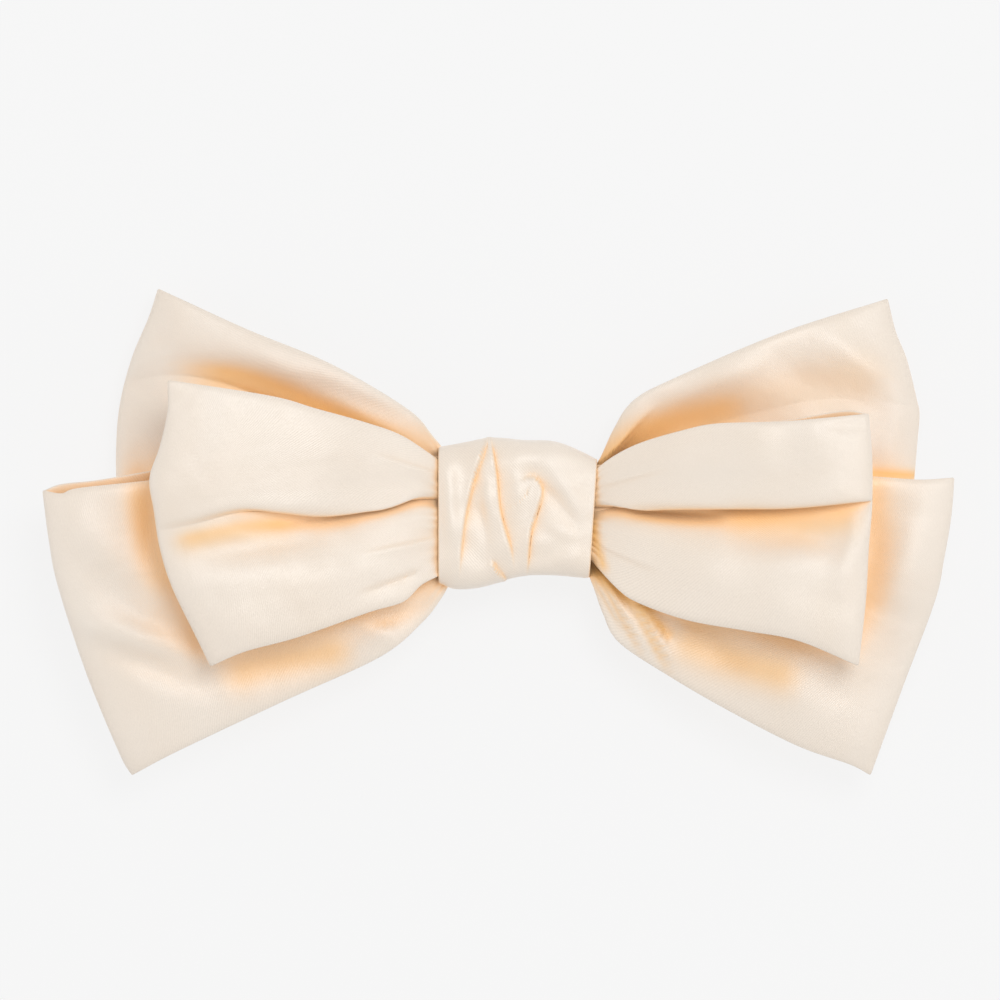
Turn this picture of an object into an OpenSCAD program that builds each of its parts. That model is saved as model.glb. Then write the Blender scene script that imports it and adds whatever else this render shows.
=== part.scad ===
// Pre-made satin gift bow, lying on its back on a flat surface.
// Three looped satin strips are gathered at the waist, bound with thread and hidden under a satin
// knot. A felt patch and an adhesive foam pad with a peel-off liner close the back.
// +Z is the side that shows, +Y the top of the bow, +X its right. The origin is the middle of the
// liner's outer face, on which the bow lies. Millimetres.

/* [Satin strips] */
// Finished width of each looped strip
strip_w = 75; // [60:1:90]
// Thickness of a strip: satin folded double
strip_t = 0.8; // [0.5:0.05:1.2]
// Width of the upper and lower strips where they are gathered
gather_w = 34; // [28:1:40]
// Width of the front strip where it is gathered
front_gather_w = 27; // [22:1:32]
// Thickness of one gathered waist
waist_t = 5.6; // [4:0.2:8]

/* [Loops] */
// Reach of the upper bow, knot middle to loop end
upper_reach = 96; // [82:1:116]
// Reach of the lower bow's left loop
lower_reach_left = 111; // [92:1:134]
// Reach of the lower bow's right loop
lower_reach_right = 103; // [88:1:124]
// Reach of the front bow
front_reach = 88; // [74:1:106]
// How far a loop swells forward of its waist
puff_front = 7; // [4:0.5:8]
// How far a loop swells backward of its waist
puff_back = 4.5; // [3:0.5:5]

/* [Knot] */
// Length of the knot along the bow
knot_len = 38; // [30:1:46]
// Thickness of the satin wrapped round the waists
wrap_t = 0.9; // [0.6:0.1:1.4]
// Width of the wrap's overlap at the back
overlap_w = 16; // [10:1:20]

/* [Threads] */
// Thickness of the gathering and binding threads
thread_d = 0.5; // [0.3:0.1:0.8]
// Turns of thread round each waist
gather_turns = 4; // [2:1:5]
// Turns of thread round all three waists
binding_turns = 6; // [3:1:8]

/* [Back] */
// Length of the felt patch along the bow
felt_l = 34; // [26:1:38]
// Height of the felt patch
felt_h = 30; // [22:1:34]
// Thickness of the felt
felt_t = 1.2; // [0.8:0.1:2]
// Length of the adhesive foam pad along the bow
pad_l = 30; // [22:1:33]
// Height of the foam pad
pad_h = 26; // [18:1:29]
// Thickness of the foam pad
pad_t = 1.5; // [1:0.1:3]
// Thickness of the release liner
liner_t = 0.15; // [0.1:0.05:0.3]
// How far the liner's finger tab stands out past the pad
tab_out = 4.5; // [4:0.5:9]

/* [Hidden] */

satin = "AntiqueWhite";
thread_colour = "Ivory";

knot_half = knot_len / 2;
clear = 0.3;               // gap between soft pieces that only lie near each other
play = 0.05;               // room round a wound thread
fuse = 0.02;               // how far two stretches of one piece run into each other
bed = 0.15;                // how deep a gathering thread beds into its waist
groove_play = 0.2;         // room beside a thread in its groove
turn_w = 0.96;             // width of one turn, as a share of the thread
corner_r = 4;              // rounding of the foam pad; the felt's is 1 mm more
waist_r = 2.4;             // rounding of a gathered waist's corners
loop_bite = 1.8;           // how far a waist runs into its loops
wrap_ease = 0.4;           // how much looser the wrap turns its corners than the thread
crown_r = 5.5;             // largest rounding of the bundle's front corners
loop_steps = 28;           // points along one side of a loop's section
end_sharpness = 9;         // how late a loop turns round at its end
rise = 145;                // degrees of a sine that shape a loop's swell
pinch = 1.05;              // how much slimmer a loop starts than its waist
onset = 1.25;              // above 1, a loop stays slim for longer near the knot

// Levels, from the surface that the bow lies on up to the front of the knot.
pad_z = liner_t;
felt_z = pad_z + pad_t;
overlap_z = felt_z + felt_t;
wrap_z = overlap_z + wrap_t;
stack_z = wrap_z + wrap_t + thread_d + play;
waist_gap = thread_d - bed + clear / 2;
waist_pitch = waist_t + waist_gap;
stack_h = 3 * waist_t + 2 * waist_gap;
function waist_z(level) = stack_z + waist_t / 2 + level * waist_pitch;
function waist_w(level) = level == 2 ? front_gather_w : gather_w;
bundle_w = max(gather_w, front_gather_w);
front_r = min(crown_r, waist_r + (bundle_w - front_gather_w) / 2);

// Inner size of the wrap round the stacked waists.
wrap_in_w = bundle_w + 2 * (thread_d + wrap_ease + 10 * play);
wrap_in_h = stack_h + 2 * (thread_d + play);
wrap_mid_z = stack_z + stack_h / 2;
wrap_r = waist_r + thread_d + wrap_ease;
wrap_front_r = front_r + thread_d + wrap_ease;

// One loop: [reach, turn in the plan, height of its end's middle, pitch, roll].
// Turn is towards +Y, pitch lifts the end, and roll lifts the top edge.
upper_left  = [upper_reach - 1, 8, 21, -1.5, 2];
upper_right = [upper_reach + 1, 5, 18, -1.5, 2];
lower_left  = [lower_reach_left, -16.5, -29.5, 6.5, 4];
lower_right = [lower_reach_right, -15.8, -28.5, 6.5, 4];
front_left  = [front_reach - 1, -6.5, -3.5, 14, 1];
front_right = [front_reach + 1, -2, -6, 14, 1];

// ---------------------------------------------------------------- shapes that repeat

// Rectangle with round corners, as true arcs.
module rounded(w, h, r) {
    square([w - 2 * r, h], center = true);
    square([w, h - 2 * r], center = true);
    for (sx = [-1, 1], sy = [-1, 1])
        translate([sx * (w / 2 - r), sy * (h / 2 - r)])
            circle(r, $fn = 48);
}

// The same, with corners of another radius along its front side.
module domed(w, h, r, r_front) {
    intersection() {
        rounded(w, h, r);
        translate([-w, -h])
            square([2 * w, h]);
    }
    intersection() {
        rounded(w, h, r_front);
        translate([-w, 0])
            square([2 * w, h]);
    }
}

// Flat ring along X round a domed rectangle, w along Y and h along Z.
module band(len, w, h, r, r_front, t) {
    rotate([90, 0, 90])
        linear_extrude(len, center = true)
            difference() {
                domed(w + 2 * t, h + 2 * t, r + t, r_front + t);
                domed(w, h, r, r_front);
            }
}

// Swell of a loop's side at share s of its length, from waist to end.
function swell(s, root, puff) =
    (root + (puff - root) * sin(rise * pow(s, onset))) * sqrt(1 - pow(s, end_sharpness));

// Side of a loop's section as points, from the waist to the end.
function side_points(start, length, root, puff, up) = [
    for (i = [0:loop_steps])
        let (s = i / loop_steps)
        [start + length * s, up * swell(s, root, puff)]
];
function backwards(points) = [for (i = [len(points) - 2:-1:0]) points[i]];

// Closed section of a loop, shrunk by the inset.
module loop_section(start, length, inset) {
    root = waist_t / 2 - pinch - inset;
    front = side_points(start, length - inset, root, puff_front - inset, 1);
    back = side_points(start, length - inset, root, puff_back - inset, -1);
    polygon(concat(front, backwards(back)));
}

// Outline of a loop in the plan, flaring from the gathered waist to the full strip.
module loop_plan(reach, turn, end_y, root_w) {
    dir = [cos(turn), sin(turn)];
    side = [-dir[1], dir[0]];
    mid = [reach * cos(turn), end_y];
    past = 10;
    half = strip_w / 2;
    root = root_w / 2 - 2 * clear;
    start = knot_half + clear;
    polygon([
        [start, -root],
        [start, root],
        mid + half * side,
        mid + half * side + past * dir,
        mid - half * side + past * dir,
        mid - half * side,
    ]);
}

// A loop of the bow at the level, built along +X and open at its top and bottom edges.
module loop(shape, level) {
    reach = shape[0];
    turn = shape[1];
    end_y = shape[2];
    root_x = knot_half + clear;
    shift = end_y - reach * sin(turn);
    start = root_x * cos(turn) - (waist_w(level) / 2 + abs(shift)) * sin(abs(turn));
    length = reach - start;
    translate([root_x, 0, waist_z(level)])
        rotate([shape[4], -shape[3], 0])
            translate([-root_x, 0, 0])
                intersection() {
                    translate([0, shift, 0])
                        rotate([0, 0, turn])
                            rotate([90, 0, 0])
                                linear_extrude(3 * strip_w, center = true)
                                    difference() {
                                        loop_section(start, length, 0);
                                        loop_section(start, length, strip_t);
                                    }
                    translate([0, 0, -3 * puff_front])
                        linear_extrude(6 * puff_front)
                            loop_plan(reach, turn, end_y, waist_w(level));
                }
}

// Place of a bow's gathering thread along X, so that threads of neighbours don't meet.
function thread_x(level) = (level - 1) * (gather_turns + 4) * thread_d;

// The gathered middle of a strip, with the groove in which its thread beds.
module waist(level) {
    translate([0, 0, waist_z(level)])
        difference() {
            rotate([90, 0, 90])
                linear_extrude(knot_len + 2 * (clear + loop_bite), center = true)
                    rounded(waist_w(level), waist_t, waist_r);
            translate([thread_x(level), 0, 0])
                band(gather_turns * thread_d + 2 * groove_play, waist_w(level) - 2 * bed, waist_t - 2 * bed,
                    waist_r - bed, waist_r - bed, waist_t);
        }
}

module bow(left, right, level) {
    color(satin) {
        waist(level);
        loop(right, level);
        mirror([1, 0, 0])
            loop(left, level);
    }
}

// Turns of thread side by side round a domed rectangle.
module winding(turns, w, h, r, r_front) {
    color(thread_colour)
        for (i = [0:turns - 1])
            translate([(i - (turns - 1) / 2) * thread_d, 0, 0])
                band(turn_w * thread_d, w, h, r, r_front, thread_d);
}

// ---------------------------------------------------------------- the pieces

module upper_bow() bow(upper_left, upper_right, 0);
module lower_bow() bow(lower_left, lower_right, 1);
module front_bow() bow(front_left, front_right, 2);

// Thread that gathers one strip, bedded in its waist's groove.
module gather_thread(level) {
    translate([thread_x(level), 0, waist_z(level)])
        winding(gather_turns, waist_w(level) - 2 * bed, waist_t - 2 * bed, waist_r - bed, waist_r - bed);
}

// Thread that binds the three waists into one bundle, near the knot's end.
module binding_thread() {
    from_end = 2 * thread_d;
    translate([-knot_half + from_end + binding_turns * thread_d / 2, 0, wrap_mid_z])
        winding(binding_turns, bundle_w + play, stack_h + play, waist_r, front_r);
}

// Satin round the waists, with its ends lapped at the back.
module knot_wrap() {
    color(satin) {
        translate([0, 0, wrap_mid_z])
            band(knot_len, wrap_in_w, wrap_in_h, wrap_r, wrap_front_r, wrap_t);
        translate([0, 0, overlap_z + (wrap_t + fuse) / 2])
            cube([knot_len, overlap_w, wrap_t + fuse], center = true);
    }
}

// Hand stitches that close the lap, in a row along its edge.
module wrap_stitches() {
    count = 7;
    from_end = 4;
    stitch_l = 3.2;
    pitch = (knot_len - 2 * from_end) / (count - 1);
    lap_edge = overlap_w / 2 + fuse;
    color(thread_colour)
        for (i = [0:count - 1])
            translate([(i - (count - 1) / 2) * pitch, lap_edge + thread_d / 2, wrap_z - thread_d / 2])
                cube([stitch_l, thread_d, thread_d], center = true);
}

// Felt glued over the lap.
module felt_patch() {
    color("Cornsilk")
        translate([0, 0, felt_z])
            linear_extrude(felt_t)
                rounded(felt_l, felt_h, corner_r + 1);
}

// Foam coated with adhesive on both faces.
module foam_pad() {
    color("WhiteSmoke")
        translate([0, 0, pad_z])
            linear_extrude(pad_t)
                rounded(pad_l, pad_h, corner_r);
}

// Paper that covers the adhesive, with a tab to pull it by.
module release_liner() {
    tab_w = 12;
    tab_r = 2.5;
    under_pad = 2;
    color("Gainsboro")
        linear_extrude(liner_t) {
            rounded(pad_l, pad_h, corner_r);
            translate([0, pad_h / 2 + (tab_out - under_pad) / 2])
                rounded(tab_w, tab_out + under_pad, tab_r);
        }
}

upper_bow();
lower_bow();
front_bow();
knot_wrap();
gather_thread(0);  // upper_gather_thread
gather_thread(1);  // lower_gather_thread
gather_thread(2);  // front_gather_thread
binding_thread();
wrap_stitches();
felt_patch();
foam_pad();
release_liner();
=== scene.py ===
# %% [markdown]
# # A satin gift bow
#
# A ready-made gift bow is three looped strips of satin, each gathered in its middle with thread, stacked,
# bound together and hidden under a short satin knot. Felt, a foam pad and a peel-off paper close its back.
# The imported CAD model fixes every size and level. This script only gives those pieces the look of cloth,
# thread, felt, foam and paper, in the same frame and in metres.

# %% Load the frame
import math

import bpy
import bmesh
import numpy as np
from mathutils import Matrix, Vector


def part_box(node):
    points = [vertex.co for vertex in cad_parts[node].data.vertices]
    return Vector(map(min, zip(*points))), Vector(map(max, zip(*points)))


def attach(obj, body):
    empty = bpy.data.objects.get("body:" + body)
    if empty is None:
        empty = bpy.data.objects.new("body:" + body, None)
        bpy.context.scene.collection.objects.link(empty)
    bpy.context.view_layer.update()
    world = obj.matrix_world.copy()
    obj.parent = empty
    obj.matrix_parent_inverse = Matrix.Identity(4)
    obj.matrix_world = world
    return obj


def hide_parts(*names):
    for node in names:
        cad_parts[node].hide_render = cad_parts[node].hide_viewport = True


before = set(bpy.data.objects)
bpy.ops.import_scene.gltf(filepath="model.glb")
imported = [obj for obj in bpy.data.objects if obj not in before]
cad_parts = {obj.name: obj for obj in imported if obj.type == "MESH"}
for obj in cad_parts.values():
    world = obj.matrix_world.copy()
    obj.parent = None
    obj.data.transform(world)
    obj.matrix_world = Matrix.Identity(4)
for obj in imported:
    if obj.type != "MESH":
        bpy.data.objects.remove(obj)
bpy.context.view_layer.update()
MM = 0.001

# %% [markdown]
# ## Sizes from the frame
#
# Each gathering thread sits round its strip's waist, so the middle of its box is the waist's level, and its
# box less the room that the thread takes is the waist's section. The knot's box says where the loops may
# come out.

# %% Levels and limits from the frame
THREAD_ROOM = 1.0   # how far a waist stays inside the box of its thread, in mm


def middle(node):
    low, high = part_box(node)
    return (low + high) / 2


def size(node):
    low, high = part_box(node)
    return high - low


LEVEL = {bow: middle(bow + "_gather_thread").z / MM for bow in ("upper", "lower", "front")}
WAIST_HALF_W = {bow: size(bow + "_gather_thread").y / MM / 2 - THREAD_ROOM for bow in LEVEL}
WAIST_HALF_T = size("upper_gather_thread").z / MM / 2 - THREAD_ROOM
BUNDLE_HALF_W = size("binding_thread").y / MM / 2
KNOT_HALF = size("knot_wrap").x / MM / 2
print("waist levels in mm:", {bow: round(z, 2) for bow, z in LEVEL.items()})

# %% [markdown]
# ## Cloth as a grid
#
# A strip of ribbon is a long rectangle, so its natural mesh is a grid: one direction runs along the strip
# and the other across it. Every fold is then a smooth change of that grid, and the weave can follow it,
# because the grid gives each point its place on the flat strip. Sculpting or a drape from a flat plane
# would also give folds, but not loops that keep their known lengths and outlines.

# %% A smooth step and a smooth curve
def smooth_step(x, low, high):
    """Rises from 0 at low to 1 at high, with no corner at either end."""
    k = np.clip((x - low) / (high - low), 0, 1)
    return k * k * (3 - 2 * k)


def through(points, share):
    """Points of a smooth curve through the given ones, at shares of its length."""
    p = np.array(points, float)
    ends = np.vstack([2 * p[0] - p[1], p, 2 * p[-1] - p[-2]])
    k = np.linspace(0, 1, 24, endpoint=False)[:, None]
    runs = []
    for a, b, c, d in zip(ends, ends[1:], ends[2:], ends[3:]):
        curve = 2 * b + (c - a) * k + (2 * a - 5 * b + 4 * c - d) * k**2 + (3 * b - a - 3 * c + d) * k**3
        runs.append(0.5 * curve)
    line = np.vstack(runs + [p[-1:]])
    length = np.concatenate([[0], np.cumsum(np.linalg.norm(np.diff(line, axis=0), axis=1))])
    wanted = np.asarray(share) * length[-1]
    return np.stack([np.interp(wanted, length, line[:, i]) for i in range(line.shape[1])], -1)


def coons(bottom, top, end, s, t):
    """Plan of a loop from its two long edges and its end.

    Row i has the shares t[i] across the strip, at the share s[i] along it."""
    low = through(bottom, s)[:, None, :]
    high = through(top, s)[:, None, :]
    far = through(end[::-1], t)
    s, t = s[:, None, None], t[..., None]
    straight_end = (1 - t) * low[-1:] + t * high[-1:]
    return (1 - t) * low + t * high + s * (far - straight_end)


# %% Which way a grid faces
def normals(grid, closed):
    """Unit normals of a grid of points."""
    if closed:
        along = np.roll(grid, -1, 0) - np.roll(grid, 1, 0)
    else:
        along = np.gradient(grid, axis=0)
    across = np.gradient(grid, axis=1)
    n = np.cross(along, across)
    return n / np.maximum(np.linalg.norm(n, axis=2, keepdims=True), 1e-9)


# %% [markdown]
# The finished satin is doubled, so a strip has thickness and rounded rims. The section below goes along the
# face of the cloth, round one rim, back along the other face and round the other rim.

# %% From a grid to cloth
RIM = np.radians([50, 90, 130])  # where the rounded rim has its points, seen along the strip


def ring_of(grid, thickness, closed):
    """Points all round the cloth at every station: face, rim, other face, rim."""
    n = normals(grid, closed)
    half = thickness / 2
    outward = grid[:, [0, -1]] - grid[:, [1, -2]]
    outward /= np.maximum(np.linalg.norm(outward, axis=2, keepdims=True), 1e-9)
    rims = []
    for side, column in ((0, 0), (1, -1)):
        rims.append([grid[:, column] + half * (math.cos(a) * n[:, column] + math.sin(a) * outward[:, side])
                     for a in RIM])
    face = [grid[:, i] + half * n[:, i] for i in range(grid.shape[1])]
    other = [grid[:, i] - half * n[:, i] for i in range(grid.shape[1] - 1, -1, -1)]
    return np.stack(face + rims[1] + other + rims[0][::-1], 1)


def end_caps(rows, columns, wide):
    """Faces that close the two ends of an open strip, each with its station as a share of the length."""
    caps = []
    for row, flip in ((0, False), (rows - 1, True)):
        rim = [row * columns + i for i in range(columns)]
        sides = [[rim[i], rim[i + 1], rim[2 * wide + 1 - i], rim[2 * wide + 2 - i]] for i in range(wide - 1)]
        sides.append([rim[wide - 1], rim[wide], rim[wide + 1], rim[wide + 2], rim[wide + 3]])
        sides.append([rim[-4], rim[-3], rim[-2], rim[-1], rim[0]])
        for face in sides:
            caps.append((face if flip else face[::-1], row / (rows - 1)))
    return caps


def cloth(name, grid, thickness, closed, flat, folds):
    """A closed mesh of double cloth round a grid in mm, with soft edges and the flat strip as its UV map.

    The shade painted on each point goes with it, for its colour."""
    ring = ring_of(grid, thickness, closed)
    rows, columns = ring.shape[:2]
    last = rows if closed else rows - 1
    q, r = np.meshgrid(np.arange(last), np.arange(columns), indexing="ij")
    q2, r2 = (q + 1) % rows, (r + 1) % columns
    faces = np.stack([q * columns + r, q2 * columns + r, q2 * columns + r2, q * columns + r2], -1)
    faces = faces.reshape(-1, 4).tolist()
    share = np.linspace(0, 1, grid.shape[1])
    v = np.concatenate([share, [1, 1, 1], share[::-1], [0, 0, 0]])
    corners = ((q / last, v[r]), ((q + 1) / last, v[r]), ((q + 1) / last, v[r2]), (q / last, v[r2]))
    uv = np.stack([np.stack(corner, -1) for corner in corners], 2).reshape(-1, 2)
    if not closed:
        for face, station in end_caps(rows, columns, grid.shape[1]):
            faces.append(face)
            uv = np.vstack([uv, [[station, 0.5]] * len(face)])
    mesh = bpy.data.meshes.new(name)
    mesh.from_pydata((ring.reshape(-1, 3) * MM).tolist(), [], faces)
    mesh.uv_layers.new(name="cloth").data.foreach_set("uv", uv.astype(np.float32).ravel())
    mesh.polygons.foreach_set("use_smooth", [True] * len(mesh.polygons))
    rim_share = np.ones((1, len(RIM)))
    # the shade painted on each point, carried round the rims and onto the other face
    painted_fold_shade = np.hstack([folds, folds[:, -1:] * rim_share, folds[:, ::-1], folds[:, :1] * rim_share])
    shares = mesh.attributes.new("painted_fold_shade", "FLOAT", "POINT")
    shares.data.foreach_set("value", painted_fold_shade.astype(np.float32).ravel())
    mesh.update()
    piece = bpy.data.objects.new(name, mesh)
    bpy.context.scene.collection.objects.link(piece)
    piece["flat_mm"] = flat
    return piece


# %% [markdown]
# ## The loops
#
# A loop is a front ply and a back ply that meet in a soft fold at the end. Seen from the front, its outline
# flares from the tight waist to the full 75 mm of the strip. Across, each ply stands up in two soft lobes
# with a valley between them, which is the pleat that the gathering makes. A loop therefore needs its
# outline, the valley's line and depth, and a few loose folds of its own.

# %% Sizes that all loops share
STEPS = 76          # stations along one ply
ACROSS = 121        # points across a strip
CLOTH_T = 0.8       # satin folded double, in mm
END_SHARPNESS = 14  # how late the two plies close at a loop's end
ROOT_T = 2.0        # half the distance between the plies where they leave the knot, in mm
LIP_OFF = 2.0       # where the upper lobe's lip starts above its valley, in mm
LIP_W = 1.5         # how wide a stretch of cloth the lip takes with it, in mm
PLEATS = 11         # small gathers across a waist
PLEAT_H = 1.0       # their height, in mm


# %% Folds
def swell(s, root, puff):
    """Half the distance between the plies, along a loop."""
    full = root + (puff - root) * np.sin(math.radians(150) * s**1.15)
    return full * np.sqrt(np.maximum(1 - s**END_SHARPNESS, 0))


def fold_height(plan, fold):
    """Height of one loose fold: a ridge, or a valley where its height is negative."""
    (x1, y1), (x2, y2), height, width = fold
    a, b = np.array([x1, y1]), np.array([x2, y2])
    run = b - a
    k = np.clip(((plan - a) @ run) / (run @ run), 0, 1)
    away = np.linalg.norm(plan - (a + k[..., None] * run), axis=-1)
    along = np.sin(math.pi * np.clip(0.15 + 0.7 * k, 0, 1))
    return height * along * np.exp(-((away / width) ** 2))


def from_line(plan, points):
    """Distance of each point from a smooth line, positive on its left, and the share along it."""
    line = through(points, np.linspace(0, 1, 81))
    ahead = np.gradient(line, axis=0)
    ahead = ahead / np.linalg.norm(ahead, axis=1, keepdims=True)
    nearest = np.argmin(((plan[..., None, :] - line) ** 2).sum(-1), axis=-1)
    away = plan - line[nearest]
    side = ahead[nearest][..., 0] * away[..., 1] - ahead[nearest][..., 1] * away[..., 0]
    return side, nearest / (len(line) - 1)


def painted_shade_zone(plan, glow):
    """Golden shade painted on each point where the cloth lies in a fold: a strength along a line, with a
    width on each side of it.
    """
    points, strength, left, right = glow
    side, share = from_line(plan, points)
    ends = smooth_step(share, 0, 0.22) * (1 - smooth_step(share, 0.78, 1))
    return strength * ends * np.exp(-((side / np.where(side > 0, left, right)) ** 2))


def crease_height(plan, crease):
    """Height of a straight crease and the shade painted just behind it: cloth rises slowly to it and drops
    sharply behind it.
    """
    (x1, y1), (x2, y2), height, width, shade_behind = crease
    a, b = np.array([x1, y1]), np.array([x2, y2])
    run = (b - a) / np.linalg.norm(b - a)
    k = ((plan - a) @ run) / np.linalg.norm(b - a)
    side = (plan - a) @ np.array([-run[1], run[0]])
    fade = smooth_step(k, -0.1, 0.2) * (1 - smooth_step(k, 0.6, 1.1))
    rise = np.where(side > 0, np.exp(-side / width), np.exp(side / (0.18 * width)))
    behind = (side + 0.25 * width) / (0.25 * width)
    return height * fade * rise, shade_behind * fade * np.exp(-(behind**2))


# %% [markdown]
# No cloth is quite even. A sum of a few waves in random directions, with a fixed seed, lifts and lowers it
# by a fraction of a millimetre. At its root each ply is drawn into small gathers, which die away outwards.

# %% Unevenness and gathers
def ripple(x, y, wavelength, seed):
    """Gentle unevenness between about -1 and 1, as a sum of waves in random directions."""
    draw = np.random.default_rng(seed)
    total = 0
    for _ in range(7):
        turn = draw.uniform(0, 2 * math.pi)
        k = 2 * math.pi / (wavelength * draw.uniform(0.7, 1.5))
        total = total + np.sin(k * (x * math.cos(turn) + y * math.sin(turn)) + draw.uniform(0, 2 * math.pi))
    return total / 3.5


def gathers(t, s, seed, fade):
    """Small pleats across a ply, unevenly spaced, that are gone at the share `fade` of its length."""
    wander = t + 0.03 * np.sin(9 * t + seed) + 0.012 * np.sin(23 * t + 2 * seed)
    return PLEAT_H * np.sin(2 * math.pi * PLEATS * wander) * (1 - smooth_step(s, -0.1, fade))


# %% One ply
def valley_share(loop, s):
    """Share across a loop at which each station crosses the valley's line."""
    t = np.tile(np.linspace(0, 1, 201), (len(s), 1))
    plan = coons(loop["bottom"], loop["top"], loop["end"], s, t)
    line = through(sorted(loop["valley"]), np.linspace(0, 1, 60))
    above = plan[..., 1] - np.interp(plan[..., 0], line[:, 0], line[:, 1])
    first = np.argmax(above > 0, axis=1)
    rows = np.arange(len(s))
    low, high = above[rows, first - 1], above[rows, first]
    return (t[rows, first - 1] * high - t[rows, first] * low) / (high - low)


def ply(loop, bow, front):
    """Grid of one ply from waist to end, in mm, and the shade painted on each point where it lies in a fold.

    Stations crowd towards the end and points across crowd towards the valley, where the cloth bends most."""
    w = np.linspace(0, 1, STEPS)
    s = 1 - (1 - w) ** 1.7
    u = np.linspace(-1, 1, ACROSS)
    u = u * (0.5 + 0.5 * u * u)
    centre = valley_share(loop, s)[:, None]
    top = loop["top"] if front else loop.get("back_top", loop["top"])
    bottom = loop["bottom"] if front else loop.get("back_bottom", loop["bottom"])
    half_t = np.where(u > 0, 1 - centre, centre)
    t = centre + u * half_t
    plan = coons(bottom, top, loop["end"], s, t)
    cross = plan[:, -1] - plan[:, 0]
    width = np.linalg.norm(cross, axis=1, keepdims=True)
    direction = (cross / width)[:, None, :]
    off = u * half_t * width
    s = s[:, None]
    above, below = [loop[side] * (0.3 + 0.7 * smooth_step(s, 0, 0.5)) for side in ("above", "below")]
    dip = np.exp(-((np.abs(off) / np.where(off > 0, above, below)) ** 1.7))
    late = smooth_step(s, loop["fade"] - 0.3, loop["fade"] + 0.3)
    depth = loop["depth"] + (loop["end_depth"] - loop["depth"]) * late
    crown = loop["edge"] + (1 - loop["edge"]) * np.sqrt(np.maximum(1 - np.abs(u) ** 3.5, 0))
    body = np.sqrt(np.maximum(1 - s**END_SHARPNESS, 0))
    out = np.abs(plan[..., 0]) - abs(loop["top"][0][0])
    lift = LEVEL[bow] + out * math.tan(math.radians(loop["pitch"])) \
        + plan[..., 1] * math.sin(math.radians(loop["roll"])) * smooth_step(s, 0, 0.4)
    painted_fold_shade = 0 * t
    if front:
        z = lift + swell(s, ROOT_T, loop["puff"]) * crown * (1 - depth * dip)
        over = loop["lip"] * smooth_step(s, 0.0, 0.25) * (1 - late)
        plan = plan - (over * np.exp(-(((off - LIP_OFF) / LIP_W) ** 2)))[..., None] * direction
        for fold in loop["folds"]:
            z = z + body * fold_height(plan, fold)
        # golden shade is painted along each zone and just behind each crease
        for glow in loop["painted_shade"]:
            painted_fold_shade = np.maximum(painted_fold_shade, painted_shade_zone(plan, glow))
        for crease in loop["creases"]:
            rise, painted_shade = crease_height(plan, crease)
            z = z + body * rise
            painted_fold_shade = np.maximum(painted_fold_shade, painted_shade)
        x, y = plan[..., 0], plan[..., 1]
        uneven = 0.5 * ripple(x, y, 26, loop["seed"]) + 0.07 * ripple(x, y, 8, loop["seed"] + 1) \
            + 0.025 * ripple(x, y, 3, loop["seed"] + 2)
        z = z + body * uneven + 0.32 * gathers(t, s, loop["seed"], 0.12)
    else:
        z = lift - swell(s, ROOT_T, loop["back_puff"]) * (0.4 + 0.6 * crown) * (1 - 0.3 * depth * dip)
        z = z + 1.25 * gathers(t, s, loop["seed"], 0.9)
    return np.dstack([plan, z, painted_fold_shade])


# %% [markdown]
# The outlines below are in millimetres in the bow's own frame, from the waist outwards. Each has only the
# points where its edge changes direction, and a smooth curve runs through them. A fold is its two ends, its
# height and its width. A painted shade zone is a line, a strength, and a width on each side; along it the
# cloth lies in a fold and golden shade is painted on it. A crease also carries the strength of the shade
# painted just behind it. The upper strip's loops each show one long valley above the front loop.

# %% The upper strip's loops
upper_left = dict(
    top=[(-17.5, 15), (-21.3, 19.6), (-27.3, 26.1), (-46.5, 37.4), (-68, 46.3), (-90, 56.4)],
    bottom=[(-17.5, -14.5), (-30, -17), (-60, -19), (-98.5, -18)],
    end=[(-90, 56.4), (-92.3, 49.4), (-96.5, 39.4), (-99.5, 28), (-100.5, 17), (-100.3, 5), (-98.5, -18)],
    valley=[(-17, 8.5), (-40, 20), (-62, 29.5), (-84, 35), (-101, 33)],
    above=5.5, below=8, lip=1.2, depth=0.95, end_depth=0.1, fade=0.75, edge=0.72,
    pitch=-1.5, roll=2, puff=7, back_puff=3.8, seed=11,
    folds=[((-92, 30), (-99, 34), -1.0, 3), ((-84, 44), (-50, 36), 1.0, 4), ((-95, 14), (-92, -2), -1.2, 3),
           ((-90, 50), (-88, 40), -0.8, 3), ((-30, 24), (-52, 34), -0.7, 2.5)],
    painted_shade=[([(-90, 37), (-80, 36.5), (-66, 34.5), (-47, 26.5), (-28.7, 18), (-16, 11)], 0.85, 2.4, 9)],
    creases=[],
)
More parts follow.
